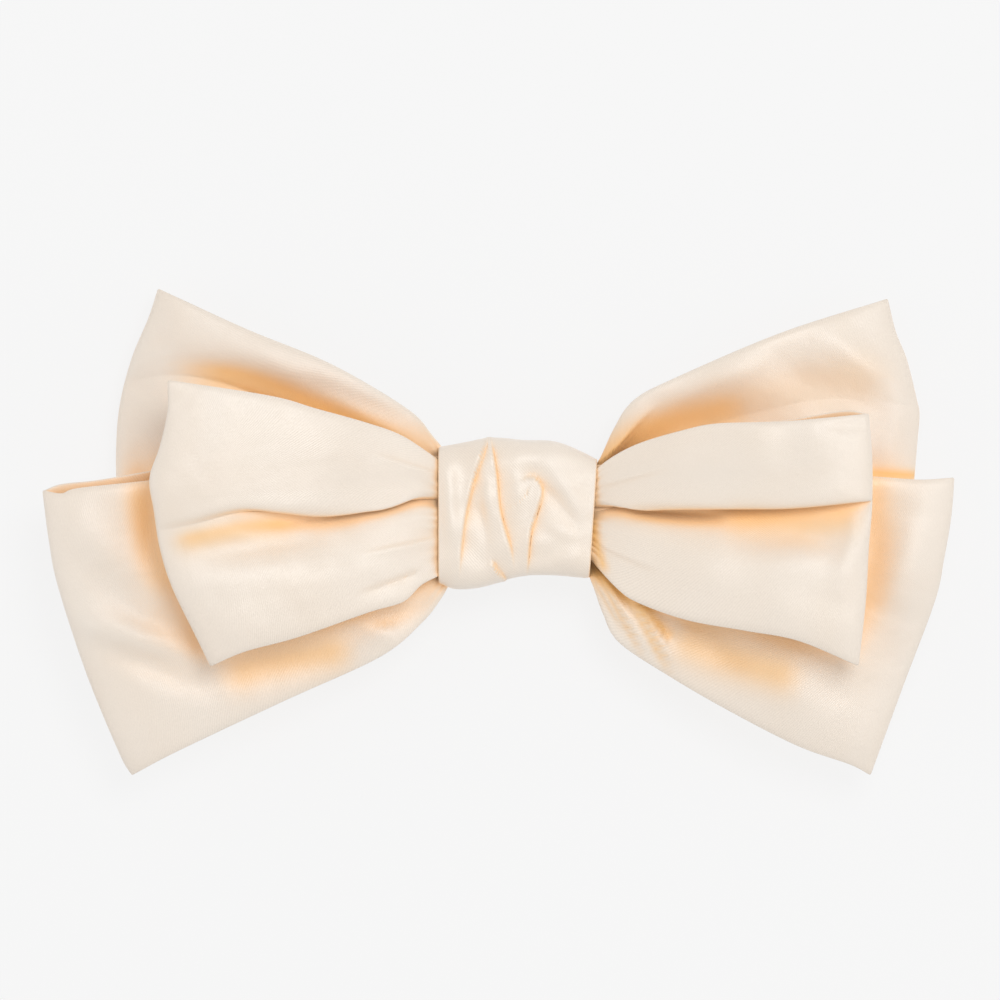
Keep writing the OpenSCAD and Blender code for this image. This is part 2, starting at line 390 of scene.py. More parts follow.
upper_right = dict(
    top=[(17.5, 10), (21, 13), (25, 21.4), (29.8, 28.4), (39.8, 33.8), (66.3, 45.1), (93.5, 53.9)],
    bottom=[(17.5, -14.5), (30, -17), (60, -19), (98, -19)],
    end=[(93.5, 53.9), (95.5, 45.9), (98.3, 38.9), (100.8, 29), (101.5, 24.9), (100.8, 16), (98, -19)],
    valley=[(17, 6.5), (30, 16), (45, 21.5), (62, 26), (80, 29), (102, 27)],
    above=7.5, below=7, lip=0, depth=0.95, end_depth=0.05, fade=0.55, edge=0.72,
    pitch=-1.5, roll=2, puff=7, back_puff=3.8, seed=21,
    folds=[((66, 36), (90, 26), -1.3, 5), ((78, 44), (94, 34), 1.2, 4), ((40, 29), (60, 38), 0.9, 3),
           ((96, 28), (94, 10), 1.0, 4)],
    painted_shade=[([(14, 2), (22, 12.5), (32, 20.5), (46, 25), (64, 29.5)], 0.75, 4, 8),
          ([(40, 25), (58, 29), (76, 33), (98, 36)], 0.3, 6, 9),
          ([(82, 10.8), (106, 9.6)], 1.0, 1.3, 1.8)],
    creases=[((20, 11), (34, 27), 1.6, 3, 0.3), ((18, 8), (30, 21), 1.2, 2.5, 0.3)],
)

# %% [markdown]
# The lower strip's loops lie flatter and wider, and stand out past the front loops on three sides. The
# right one is drawn into a few sharp creases where it leaves the knot.

# %% The lower strip's loops
lower_left = dict(
    top=[(-17.5, 14), (-39.9, 14), (-69.8, 11), (-91.3, 8.1), (-108.8, 6.2), (-112.8, 4.9),
         (-117.5, 5.6)],
    back_top=[(-17.5, 14), (-39.9, 16), (-69.8, 14), (-91.3, 10.5), (-104.4, 8.2), (-113.3, 7.2),
              (-117.5, 5.6)],
    bottom=[(-16.8, -17), (-19.5, -21.6), (-23.8, -26.9), (-34.3, -35.4), (-58.6, -46.5),
            (-84.9, -58.9), (-96, -64.8)],
    end=[(-117.5, 5.6), (-116, -6.6), (-113.8, -18), (-106.9, -39.7), (-98.8, -59.8), (-96, -64.8)],
    valley=[(-17, -3), (-45, -14), (-75, -22), (-108, -32)],
    above=7, below=9, lip=0, depth=0.8, end_depth=0.1, fade=0.55, edge=0.72,
    pitch=6.5, roll=4, puff=7, back_puff=4.2, seed=31,
    folds=[((-92, 6), (-90, -14), -2.6, 4), ((-112, 2), (-100, -14), 1.8, 5),
           ((-106, -12), (-92, -26), -1.8, 5), ((-110, -26), (-84, -34), 2.2, 4),
           ((-102, -33), (-80, -42), -1.8, 4), ((-74, -41), (-46, -33), -2, 5.5),
           ((-42, -30), (-24, -22), -1, 3), ((-40, -27), (-30, -31), 1.0, 2.5)],
    painted_shade=[([(-94, 10), (-91.5, 0), (-89, -8), (-87, -22)], 0.5, 4, 4),
          ([(-76, -42), (-58, -37), (-38, -33)], 0.7, 5, 4.5)],
    creases=[],
)
lower_right = dict(
    top=[(17.5, 12), (39.9, 12), (69.8, 10), (88.6, 9.1), (100.2, 8.3), (108.8, 8.8)],
    bottom=[(17.5, -12.5), (19.8, -18.1), (22.3, -25.1), (26, -31.8), (37.9, -39.8), (52.9, -48.5),
            (70.3, -57.4), (83.4, -62.1), (88.6, -64.8)],
    end=[(108.8, 8.8), (108.1, -0.6), (106.4, -11), (104.2, -21.5), (96.3, -43.2), (88.6, -64.8)],
    valley=[(17, -3), (45, -13), (75, -20), (106, -30)],
    above=7, below=9, lip=0, depth=0.8, end_depth=0.1, fade=0.55, edge=0.72,
    pitch=6.5, roll=4, puff=7, back_puff=4.2, seed=41,
    folds=[((89, 7), (88, -20), -1.3, 4), ((103, 6), (94, -26), 1.8, 5), ((46, -30), (60, -38), -1.8, 5.5),
           ((36, -24), (38, -32), -1.6, 2.5), ((60, -40), (82, -54), 1.4, 6),
           ((98, -20), (90, -48), -1.4, 6)],
    painted_shade=[([(17, -10), (20, -14), (26, -19.5), (33, -24), (38, -26)], 1.0, 3, 2),
          ([(30, -21), (33, -25), (37, -29), (40, -33)], 0.9, 1.6, 1.6),
          ([(88.5, 12), (88, -2), (87, -14), (86, -30)], 0.3, 3, 4),
          ([(36, -28), (50, -35), (74, -42)], 0.7, 6, 5)],
    creases=[((29, -20), (40, -40), 2.6, 4, 0.7), ((22, -16), (33, -36), 2.0, 3, 0.6),
             ((19, -14), (28, -30), 1.2, 2.5, 0.4)],
)

# %% [markdown]
# The front strip's loops are the shortest and stand up the most. Each has one deep pleat along its middle,
# and the upper lobe's lip hangs a little over it.

# %% The front strip's loops
front_left = dict(
    top=[(-18.5, 12.6), (-28.2, 19.1), (-36.8, 22.3), (-49.7, 25.9), (-60.4, 28.9), (-83.1, 32.4),
         (-85.7, 32.6)],
    bottom=[(-18.5, -14.6), (-23.8, -17.3), (-28.2, -21.4), (-36.8, -24), (-54.1, -30), (-67.1, -33.5),
            (-75.5, -37.1)],
    end=[(-85.7, 32.6), (-85.7, 25.5), (-87.6, 16.8), (-90.1, 8.9), (-89.1, 1.1), (-87.6, -8.3),
         (-84.7, -17.8), (-78.9, -30), (-75.5, -37.1)],
    valley=[(-18, 3.6), (-25, 4.2), (-36.5, 3.2), (-48.5, 1.5), (-58.5, 1.3), (-68, 1), (-80, -2.4),
            (-91, -4.5)],
    above=1.4, below=7, lip=4, depth=1.05, end_depth=0.3, fade=0.62, edge=0.75,
    pitch=14, roll=1, puff=6.5, back_puff=4.2, seed=51,
    folds=[((-42, -0.8), (-68, -2.4), -1.1, 2.2), ((-50, -6), (-81, -10), -2.6, 4.5),
           ((-84, 10), (-91, 0), 0.9, 4), ((-86, 26), (-80, 31), -0.8, 3), ((-88, -12), (-84, -18), -0.8, 4),
           ((-60, -28), (-74, -28), 0.7, 5), ((-30, -10), (-52, -18), 0.8, 5),
           ((-26, 12), (-56, 18), 0.7, 6)],
    painted_shade=[([(-87, -7.5), (-77, -5), (-67, -3), (-52, -1.6)], 0.75, 2, 3.4)],
    creases=[((-24, -14), (-40, -20), -0.9, 2.5, 0.05), ((-20, -6), (-38, -10), 0.7, 2.5, 0.05),
             ((-20, 10), (-36, 15), 0.7, 2.5, 0.05)],
)
front_right = dict(
    top=[(18.5, 9.6), (24, 13.9), (30.9, 17.4), (41.3, 20.5), (50, 22.2), (65.6, 22.6), (86.7, 24.5)],
    back_top=[(18.5, 9.6), (24, 13.9), (31, 17.4), (41.5, 20.5), (50, 22.3), (66, 23), (81, 25.4),
              (86.8, 24.6)],
    bottom=[(18.5, -10.6), (25, -17.8), (30.2, -21.5), (42.3, -25.8), (56.8, -28.4), (69.7, -30.8),
            (84.3, -36.9)],
    end=[(86.7, 24.5), (87.5, 13.8), (87.5, 2.1), (86.7, -8.3), (86, -21.3), (84.3, -36.9)],
    valley=[(18, 1.6), (24, 2.5), (32, 4.1), (48, 4.5), (70, 4.5), (89, 3.8)],
    above=1.3, below=9, lip=4.8, depth=1.35, end_depth=0.7, fade=0.95, edge=0.75,
    pitch=14, roll=1, puff=6.5, back_puff=4.2, seed=61,
    folds=[((30, 0.6), (50, -0.4), -2.0, 1.8), ((76, 22), (86, 22), -0.8, 2), ((85, -1), (80, -18), 1.4, 3),
           ((56, -5), (79, -6), -2.4, 4.5), ((26, 8), (60, 14), 0.7, 5), ((30, -8), (60, -18), 0.9, 6),
           ((72, -4), (84, -10), -0.9, 4), ((62, -24), (84, -30), 0.6, 5)],
    painted_shade=[([(18, 2), (19, -2), (20.2, -7), (21.6, -12), (23, -16)], 0.9, 1.2, 1.2),
          ([(20, 0.5), (36, 0), (50, -0.2), (70, 0.2), (86, 1.2)], 0.35, 2, 3),
          ([(48, -0.5), (62, -1.5), (76, -1.8), (88, 1)], 0.6, 3, 4)],
    creases=[((20, -7), (36, -14), 0.7, 3, 0.05), ((20, 7), (38, 12), 0.5, 3, 0.05)],
)

# %% [markdown]
# ## From loops to strips
#
# A strip is a closed band. It runs out along the right loop's back ply, returns along its front ply, passes
# through the waist and does the same on the left. Inside the knot all its width is drawn together, so
# there its section is the rounded block that the gathering thread holds. The knot is not quite straight, so
# what lies inside it follows the knot's own two outlines.

# %% The knot's outline
KNOT_TOP = [(-19, 16.9), (-12, 18.2), (-5.5, 19.3), (2, 18.7), (8, 18.5), (13, 17), (20, 13.4)]
KNOT_BOTTOM = [(-19, -17.4), (-15, -18.8), (-9, -18.4), (-3, -16.6), (2, -15.4), (8, -15.2), (18, -15.9)]
WRAP_T = 0.8        # the wrap is double cloth too, in mm
WRAP_ROOM = 1.2     # free height between the wrap and the outermost cloth inside it, in mm


def knot_edges(x):
    """Lowest and highest y of the knot at each x, in mm."""
    share = np.linspace(0, 1, 80)
    sides = []
    for outline in (KNOT_BOTTOM, KNOT_TOP):
        line = through(outline, share)
        sides.append(np.interp(x, line[:, 0], line[:, 1]))
    return sides


def squeeze(points):
    """What lies inside the knot is drawn in to the knot's own outline, which is not quite straight."""
    points = np.array(points, float)
    low, high = knot_edges(points[..., 0])
    room = WRAP_T + WRAP_ROOM
    share = (points[..., 1] / BUNDLE_HALF_W + 1) / 2
    points[..., 1] = low + room + share * (high - low - 2 * room)
    return points


# %% Waists and bands
WAIST_STEPS = 16


def waist(start, stop, bow, sign):
    """Stations from one loop's root to the other's, drawn into the gathered section between them."""
    k = np.linspace(0, 1, WAIST_STEPS + 2)[1:-1]
    angle = np.linspace(-1, 1, ACROSS)
    edge = np.sqrt(np.maximum(1 - np.abs(angle) ** 8, 0))
    pleat = PLEAT_H * np.sin(math.pi * PLEATS * (angle + 1))
    z = LEVEL[bow] + sign * edge * (WAIST_HALF_T - PLEAT_H + sign * pleat)
    block = np.stack([angle * 0, angle * WAIST_HALF_W[bow], z, angle * 0], -1)
    rows = []
    for share in k:
        row = (1 - share) * start + share * stop
        hold = smooth_step(np.array(min(share, 1 - share)), 0.0, 0.28)
        held = block.copy()
        held[:, 0] = row[:, 0]
        rows.append((1 - hold) * row + hold * squeeze(held))
    return np.array(rows)


def band(left, right, bow):
    """One strip as a closed band of stations: both plies of both loops, with the waist between them."""
    right_back, right_front = ply(right, bow, False), ply(right, bow, True)
    left_back, left_front = ply(left, bow, False), ply(left, bow, True)
    front = waist(right_front[0], left_front[0], bow, 1)
    back = waist(left_back[0], right_back[0], bow, -1)
    return np.vstack([right_back, right_front[-2::-1], front, left_front, left_back[-2::-1], back])


def strip_length(grid):
    """Length of the band along its middle line, in mm."""
    line = grid[:, ACROSS // 2]
    return float(np.linalg.norm(np.roll(line, -1, 0) - line, axis=1).sum())


# %% The three strips
STRIP_W = 75
grids = {
    "upper": band(upper_left, upper_right, "upper"),
    "lower": band(lower_left, lower_right, "lower"),
    "front": band(front_left, front_right, "front"),
}
bows = {}
for bow, grid in grids.items():
    # the fourth value of each point is the shade painted on it
    grid, folds = grid[..., :3], grid[..., 3]
    bows[bow] = cloth(bow + "_bow_satin", grid, CLOTH_T, True, [STRIP_W, strip_length(grid)], folds)
    print(bow, "strip is", round(strip_length(grid)), "mm round,", len(bows[bow].data.polygons), "faces")

# %% [markdown]
# ## The knot
#
# The knot is a short strip of the same satin, wrapped once round the stacked waists. It was pulled tight by
# hand, so slanting creases run across it, and its rims draw in a little at the bottom. Its section is a
# rounded block, which one formula gives. Each crease then follows a curved line: the cloth rises slowly
# towards it on one side and drops behind it on the other. Softer folds between the creases catch the light.

# %% Creases and folds of the knot
def line_height(plan, crease):
    """Height of a crease down a curved line and the thin line of shade painted just behind it: cloth rises to
    it and drops behind it.
    """
    points, rise, width, drop, painted_shade = crease
    side, share = from_line(plan, points)
    ends = smooth_step(share, 0, 0.16) * (1 - smooth_step(share, 0.72, 1))
    up = rise * np.where(side < 0, np.exp(side / width), np.exp(-((side / 0.35) ** 2)))
    down = drop * np.where(side < 0, 0, (1 - np.exp(-((side / 0.4) ** 2))) * np.exp(-side / width))
    return ends * (up - down), painted_shade * ends * np.exp(-(((side - 0.3) / 0.22) ** 2))


# each crease: its line, rise, width and drop, and the strength of the shade painted just behind it
KNOT_CREASES = [
    ([(-6.6, 20), (-8, 17), (-10.6, 9.9), (-12.4, 3), (-13.7, -4.6), (-14.3, -11), (-14.4, -17)],
     0.8, 4, 0.8, 0.35),
    ([(-6.8, 20), (-6.4, 16), (-5.4, 9.9), (-4.4, 0.5), (-1.8, -8.8), (-0.4, -15)], 0.7, 3.4, 0.9, 0.35),
    ([(0.6, 7.4), (2.6, 8.6), (4.8, 8.4), (6, 5.7), (5, 1.6), (3.1, -4.6), (2.4, -11.9), (2.4, -17)],
     0.8, 3.2, 0.9, 0.25),
    ([(-6.6, -11.4), (-5.4, -13.6), (-3.6, -15.6), (-1.6, -17.4)], 0.7, 1.4, 0.8, 0.4),
]
KNOT_FOLDS = [
    ((7.5, 7), (15, -3), -0.7, 1.8),
    ((8, 11), (17, 1), 0.9, 2.6),
    ((6, -1), (13, -5), 0.8, 2),
    ((-9, 4), (-7, -8), -0.6, 1.8),
    ((-7.6, 10), (-6.4, -2), 0.7, 1.6),
    ((-17, 12), (-16, -6), 0.9, 2),
    ((0, 12), (1, 0), 0.7, 2.2),
    ((9, -12), (17, -9), 0.6, 2.4),
    ((-7, 18.6), (-6.4, 20), 1.0, 1.2),
]

# %% Knot
KNOT_AROUND = 190   # stations round the knot
KNOT_ACROSS = 200   # points across its width
KNOT_STRIP = 130    # length that the weave is laid out over, in mm
LAP = 0.45          # how far each end of the wrap runs past the middle of the back, in radians


def knot_grid():
    """Grid of the wrap in mm, round the waists and across them, and the shade painted on each point where it
    lies in a fold.
    """
    low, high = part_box("knot_wrap")
    back, front = low.z / MM + 1.5 * WRAP_T, high.z / MM - WRAP_T / 2
    a = np.linspace(-math.pi / 2 - LAP, 1.5 * math.pi + LAP, KNOT_AROUND)[:, None]
    v = np.linspace(-1, 1, KNOT_ACROSS)[None, :]
    x = -v * KNOT_HALF + 0 * a
    low_y, high_y = knot_edges(x)
    square = np.where(np.sin(a) > 0, 5, 7)
    reach = (np.abs(np.cos(a)) ** square + np.abs(np.sin(a)) ** square) ** (-1 / square)
    y = (high_y + low_y) / 2 + ((high_y - low_y) / 2 - WRAP_T / 2) * reach * np.cos(a)
    z = (front + back) / 2 + (front - back) / 2 * reach * np.sin(a) + 0 * x
    z = z - WRAP_T * smooth_step(a, 1.5 * math.pi - 1.3 * LAP, 1.5 * math.pi - LAP)
    x = np.where(x > 0, x * (1 + 0.06 * y / 17), x)
    plan = np.dstack([x, y])
    showing = smooth_step(np.sin(a), -0.1, 0.35)
    height = 0.3 * ripple(x, 1.3 * y, 11, 71)
    painted_fold_shade = 0 * x
    for crease in KNOT_CREASES:
        rise, painted_shade = line_height(plan, crease)
        height = height + rise
        painted_fold_shade = np.maximum(painted_fold_shade, painted_shade)
    for fold in KNOT_FOLDS:
        height = height + fold_height(plan, fold)
    outward = np.dstack([0 * x, 0.35 * np.sign(y) * smooth_step(np.abs(y), 10, 17), 1 + 0 * x])
    return np.dstack([x, y, z]) + (showing * height)[..., None] * outward, showing * painted_fold_shade


knot_shape, knot_painted_shade = knot_grid()
knot = cloth("knot_satin", knot_shape, WRAP_T, False, [2 * KNOT_HALF, KNOT_STRIP], knot_painted_shade)
print("knot has", len(knot.data.polygons), "faces")

# %% [markdown]
# ## Thread
#
# Each waist is held by a few turns of sewing thread, and more turns bind the three waists together. Turns
# side by side are a pattern that repeats, so Geometry Nodes make them: one rounded loop of thread, copied
# along a line. The inputs are the sizes that a sewer would set.

# %% Helpers for node trees
def add(tree, kind, inputs=None, **settings):
    """Adds a node, sets its settings, and gives each named or numbered input a value or a link."""
    made = tree.nodes.new(kind)
    for name, value in settings.items():
        setattr(made, name, value)
    for name, value in (inputs or {}).items():
        socket = made.inputs[name]
        if isinstance(value, bpy.types.NodeSocket):
            tree.links.new(value, socket)
        else:
            socket.default_value = value
    return made


def new_tree(name, sizes):
    """An empty Geometry Nodes tree with a named input for each size."""
    tree = bpy.data.node_groups.new(name, "GeometryNodeTree")
    tree.interface.new_socket("Geometry", in_out="OUTPUT", socket_type="NodeSocketGeometry")
    for label, value in sizes.items():
        kind = "NodeSocketInt" if isinstance(value, int) else "NodeSocketFloat"
        tree.interface.new_socket(label, in_out="INPUT", socket_type=kind)
    tree.interface.new_socket("Material", in_out="INPUT", socket_type="NodeSocketMaterial")
    return tree


def grown(name, tree, sizes, material):
    """A plain mesh made by the tree with these sizes."""
    host = bpy.data.objects.new(name, bpy.data.meshes.new(name + "_seed"))
    bpy.context.scene.collection.objects.link(host)
    modifier = host.modifiers.new("grow", "NODES")
    modifier.node_group = tree
    values = dict(sizes, Material=material)
    for item in tree.interface.items_tree:
        if item.item_type == "SOCKET" and item.in_out == "INPUT":
            modifier[item.identifier] = values[item.name]
    graph = bpy.context.evaluated_depsgraph_get()
    mesh = bpy.data.meshes.new_from_object(host.evaluated_get(graph))
    host.modifiers.remove(modifier)
    seed = host.data
    host.data = mesh
    mesh.name = name
    bpy.data.meshes.remove(seed)
    mesh.polygons.foreach_set("use_smooth", [True] * len(mesh.polygons))
    return host


# %% A tree for turns of thread
WINDING = {"Turns": 4, "Pitch": 0.5, "Width": 34.0, "Height": 5.6, "Corner": 2.4, "Thread": 0.5, "Place": 0.0,
           "Level": 0.0}


def winding_tree():
    """Turns of thread side by side along x, each a rounded rectangle that stands across x."""
    tree = new_tree("turns_of_thread", WINDING)
    given = add(tree, "NodeGroupInput").outputs
    shape = add(tree, "GeometryNodeCurvePrimitiveQuadrilateral", {"Width": given["Height"],
                                                                  "Height": given["Width"]})
    round_corners = add(tree, "GeometryNodeFilletCurve", {"Curve": shape.outputs[0], "Count": 7,
                                                          "Radius": given["Corner"]}, mode="POLY")
    radius = add(tree, "ShaderNodeMath", {0: given["Thread"], 1: 0.5}, operation="MULTIPLY")
    profile = add(tree, "GeometryNodeCurvePrimitiveCircle", {"Resolution": 10, "Radius": radius.outputs[0]})
    turn = add(tree, "GeometryNodeCurveToMesh", {"Curve": round_corners.outputs[0],
                                                 "Profile Curve": profile.outputs[0]})
    upright = add(tree, "GeometryNodeTransform", {"Geometry": turn.outputs[0],
                                                  "Rotation": (0, math.pi / 2, 0)})
    first = add(tree, "ShaderNodeCombineXYZ", {"X": given["Place"], "Z": given["Level"]})
    step = add(tree, "ShaderNodeCombineXYZ", {"X": given["Pitch"]})
    line = add(tree, "GeometryNodeMeshLine", {"Count": given["Turns"], "Start Location": first.outputs[0],
                                              "Offset": step.outputs[0]}, mode="OFFSET", count_mode="TOTAL")
    copies = add(tree, "GeometryNodeInstanceOnPoints", {"Points": line.outputs[0],
                                                        "Instance": upright.outputs[0]})
    real = add(tree, "GeometryNodeRealizeInstances", {"Geometry": copies.outputs[0]})
    coloured = add(tree, "GeometryNodeSetMaterial", {"Geometry": real.outputs[0],
                                                     "Material": given["Material"]})
    add(tree, "NodeGroupOutput", {0: coloured.outputs[0]})
    return tree


# %% [markdown]
# ## Finishes
#
# Polyester satin is woven so that most threads float on the face. The long floats give a broad, soft sheen
# and a fine slanting twill. Colours are written as hex values, as on a swatch, and turned to linear light by
# one function.

# %% Colour
def linear(code):
    """Linear colour of an sRGB hex value."""
    values = [int(code[i:i + 2], 16) / 255 for i in (1, 3, 5)]
    return tuple(v / 12.92 if v <= 0.04045 else ((v + 0.055) / 1.055) ** 2.4 for v in values) + (1,)


def new_material(name):
    material = bpy.data.materials.new(name)
    material.use_nodes = True
    material.node_tree.nodes.clear()
    return material, material.node_tree


# %% [markdown]
# Cream satin is thin, so light also passes through it. In a fold that light has gone through several plies
# and bounced between them, and each time it loses some blue, so folds look golden and not grey. A surface
# shader has no such light of its own, so here that golden shade is painted into the colour. It is painted
# from two things: how closed in a place is, which ambient occlusion tells, and the painted shade share that
# came with the mesh. Both paint the cloth golden, the most closed-in places are painted darker as well, and
# closed-in places also get a faint painted glow, an emission that stands in for the light that has passed
# through.

# %% The satin's weave
TWILL_MM = 0.5           # a real twill line is nearer 0.4 mm; this is as fine as shows at the render's size
BAND_PER_MM = 0.444      # the wave texture's scale that puts its diagonal bands 1 mm apart
SATIN_PALE = linear("#f6ece0")
SATIN_DEEP = linear("#f4e4d2")
# painted shade: the golden colour painted into folds and closed-in places
SATIN_PAINTED_SHADE = linear("#f8c47c")
SATIN_PAINTED_GLOW = linear("#ffb458")  # painted glow: the emission colour that stands in for white light after it has passed several plies
SHADE_REACH = 16 * MM    # cloth nearer than this makes a place closed in


def weave(tree, length, width):
    """Height and colour of the weave on the flat strip: slanting twill lines, slightly uneven threads."""
    place = add(tree, "ShaderNodeUVMap", uv_map="cloth")
    in_mm = add(tree, "ShaderNodeMapping", {"Vector": place.outputs[0], "Scale": (length, width, 1)})
    twill = add(tree, "ShaderNodeTexWave", {"Vector": in_mm.outputs[0], "Scale": BAND_PER_MM / TWILL_MM,
                                            "Distortion": 1.5, "Detail": 2.0, "Detail Scale": 1.6},
                wave_type="BANDS", bands_direction="DIAGONAL")
    slub = add(tree, "ShaderNodeTexNoise", {"Vector": in_mm.outputs[0], "Scale": 2.2, "Detail": 3.0})
    cloud = add(tree, "ShaderNodeTexNoise", {"Vector": in_mm.outputs[0], "Scale": 0.03, "Detail": 2.0})
    height = add(tree, "ShaderNodeMath", {0: twill.outputs["Fac"], 1: 0.5, 2: slub.outputs["Fac"]},
                 operation="MULTIPLY_ADD")
    tone = add(tree, "ShaderNodeMix", {"Factor": cloud.outputs["Fac"], "A": SATIN_DEEP, "B": SATIN_PALE},
               data_type="RGBA")
    shade = add(tree, "ShaderNodeMapRange", {"Value": height.outputs[0], "From Min": 0.3, "From Max": 1.2,
                                             "To Min": 0.9, "To Max": 1.0})
    colour = add(tree, "ShaderNodeVectorMath", {0: tone.outputs["Result"], "Scale": shade.outputs[0]},
                 operation="SCALE")
    return height.outputs[0], colour.outputs[0]


# %% The satin's painted shade and glow in folds
def fold_light(tree, colour):
    """Colour of the cloth with golden shade painted in its folds and darker shade painted in its most
    closed-in places, and the strength of the painted glow that stands in for light that comes through it.
    """
    hollow = add(tree, "ShaderNodeAmbientOcclusion", {"Distance": SHADE_REACH}, samples=8)
    # the shade painted on each point, which came with the mesh
    painted_fold_shade = add(tree, "ShaderNodeAttribute", attribute_name="painted_fold_shade")
    not_fold = add(tree, "ShaderNodeMapRange", {"Value": painted_fold_shade.outputs["Fac"], "To Min": 1.0,
                                                "To Max": 0.0})
    hollow_air = add(tree, "ShaderNodeMapRange", {"Value": hollow.outputs["AO"], "From Min": 0.5,
                                                  "From Max": 0.98, "To Min": 0.45},
                     interpolation_type="SMOOTHSTEP")
    open_air = add(tree, "ShaderNodeMath", {0: hollow_air.outputs[0], 1: not_fold.outputs[0]},
                   operation="MULTIPLY")
    # painted shade: the colour turns golden in closed-in places and where the mesh says the cloth lies in a
    # fold
    painted_gold = add(tree, "ShaderNodeMix", {"Factor": open_air.outputs[0], "A": SATIN_PAINTED_SHADE, "B": colour},
                 data_type="RGBA")
    # painted shade: the most closed-in places are painted darker
    painted_darkening = add(tree, "ShaderNodeMapRange", {"Value": hollow.outputs["AO"], "From Min": 0.15, "From Max": 0.5,
                                            "To Min": 0.76, "To Max": 1.0})
    painted_shade = add(tree, "ShaderNodeVectorMath", {0: painted_gold.outputs["Result"], "Scale": painted_darkening.outputs[0]},
               operation="SCALE")
    # painted glow: an emission in closed-in places and painted folds, fading out where the darker shade is
    # painted
    painted_glow_limit = add(tree, "ShaderNodeMapRange", {"Value": painted_darkening.outputs[0], "From Min": 0.8, "From Max": 1.0,
                                            "To Max": 0.24})
    shaded = add(tree, "ShaderNodeMath", {0: 1.0, 1: hollow_air.outputs[0]}, operation="SUBTRACT")
    a_little = add(tree, "ShaderNodeMath", {0: painted_fold_shade.outputs["Fac"], 1: 0.1}, operation="MULTIPLY")
    painted_glow_share = add(tree, "ShaderNodeMath", {0: shaded.outputs[0], 1: a_little.outputs[0]},
                     operation="MAXIMUM")
    painted_glow = add(tree, "ShaderNodeMath", {0: painted_glow_limit.outputs[0], 1: painted_glow_share.outputs[0]},
                 operation="MULTIPLY")
    return painted_shade.outputs[0], painted_glow.outputs[0]


# %% The satin
def satin(name, length, width):
    """Woven polyester satin: a broad soft sheen, slanting twill lines, slightly uneven threads, and golden
    shade and a faint glow painted in its folds.
    """
    material, tree = new_material(name)
    height, colour = weave(tree, length, width)
    painted_shade, painted_glow = fold_light(tree, colour)
    bump = add(tree, "ShaderNodeBump", {"Height": height, "Strength": 0.5, "Distance": 0.12 * MM})
    # the base colour carries the painted shade, and the emission is the painted glow
    face = add(tree, "ShaderNodeBsdfPrincipled", {"Base Color": painted_shade, "Roughness": 0.4,
                                                  "Emission Color": SATIN_PAINTED_GLOW,
                                                  "Emission Strength": painted_glow,
                                                  "Specular IOR Level": 1.0, "Sheen Weight": 0.15,
                                                  "Sheen Roughness": 0.45, "Anisotropic": 0.5,
                                                  "Normal": bump.outputs[0]})
    add(tree, "ShaderNodeOutputMaterial", {"Surface": face.outputs[0]})
    return material


for bow, piece in bows.items():
    width, length = piece["flat_mm"]
    piece.data.materials.append(satin("cream_polyester_satin_" + bow, length, width))
width, length = knot["flat_mm"]
knot.data.materials.append(satin("cream_polyester_satin_knot", length, width))
print("satin colours", [round(v, 2) for v in SATIN_PALE[:3]])

# %% [markdown]
# The other finishes are matt or nearly so: spun thread, pressed felt, foam with small pores, and paper with
# a smooth silicone coat. Each pattern is in metres on the piece itself, from the size of a real fibre, pore
# or fleck.

# %% Sewing thread
def spun_thread():
    """Spun polyester sewing thread: matt, with the slanting lines of its twist."""
    material, tree = new_material("cream_spun_polyester_thread")
    place = add(tree, "ShaderNodeTexCoord")
    twist = add(tree, "ShaderNodeTexWave", {"Vector": place.outputs["Object"], "Scale": 900.0,
                                            "Distortion": 1.0},
                wave_type="BANDS", bands_direction="DIAGONAL")
    colour = add(tree, "ShaderNodeMix", {"Factor": twist.outputs["Fac"], "A": linear("#e6d2b4"),
                                         "B": linear("#f3e4cc")}, data_type="RGBA")
    bump = add(tree, "ShaderNodeBump", {"Height": twist.outputs["Fac"], "Strength": 0.5, "Distance": 0.00005})
    face = add(tree, "ShaderNodeBsdfPrincipled", {"Base Color": colour.outputs["Result"], "Roughness": 0.7,
                                                  "Sheen Weight": 0.2, "Normal": bump.outputs[0]})
    add(tree, "ShaderNodeOutputMaterial", {"Surface": face.outputs[0]})
    return material


# %% Felt
def matted_felt():
    """Pressed acrylic felt: short matted fibres with no direction, and no gloss."""
    material, tree = new_material("cream_pressed_felt")
    place = add(tree, "ShaderNodeTexCoord")
    fibre = add(tree, "ShaderNodeTexNoise", {"Vector": place.outputs["Object"], "Scale": 1600.0,
                                             "Detail": 4.0, "Roughness": 0.65, "Distortion": 2.0})
    clump = add(tree, "ShaderNodeTexNoise", {"Vector": place.outputs["Object"], "Scale": 260.0,
                                             "Detail": 2.0})
    both = add(tree, "ShaderNodeMath", {0: fibre.outputs["Fac"], 1: 0.7, 2: clump.outputs["Fac"]},
               operation="MULTIPLY_ADD")
    colour = add(tree, "ShaderNodeMix", {"Factor": both.outputs[0], "A": linear("#d9c3a3"),
                                         "B": linear("#f0e0c6")}, data_type="RGBA")
    bump = add(tree, "ShaderNodeBump", {"Height": both.outputs[0], "Strength": 0.8, "Distance": 0.0003})
    face = add(tree, "ShaderNodeBsdfPrincipled", {"Base Color": colour.outputs["Result"], "Roughness": 0.95,
                                                  "Sheen Weight": 0.5, "Normal": bump.outputs[0]})
    add(tree, "ShaderNodeOutputMaterial", {"Surface": face.outputs[0]})
    return material


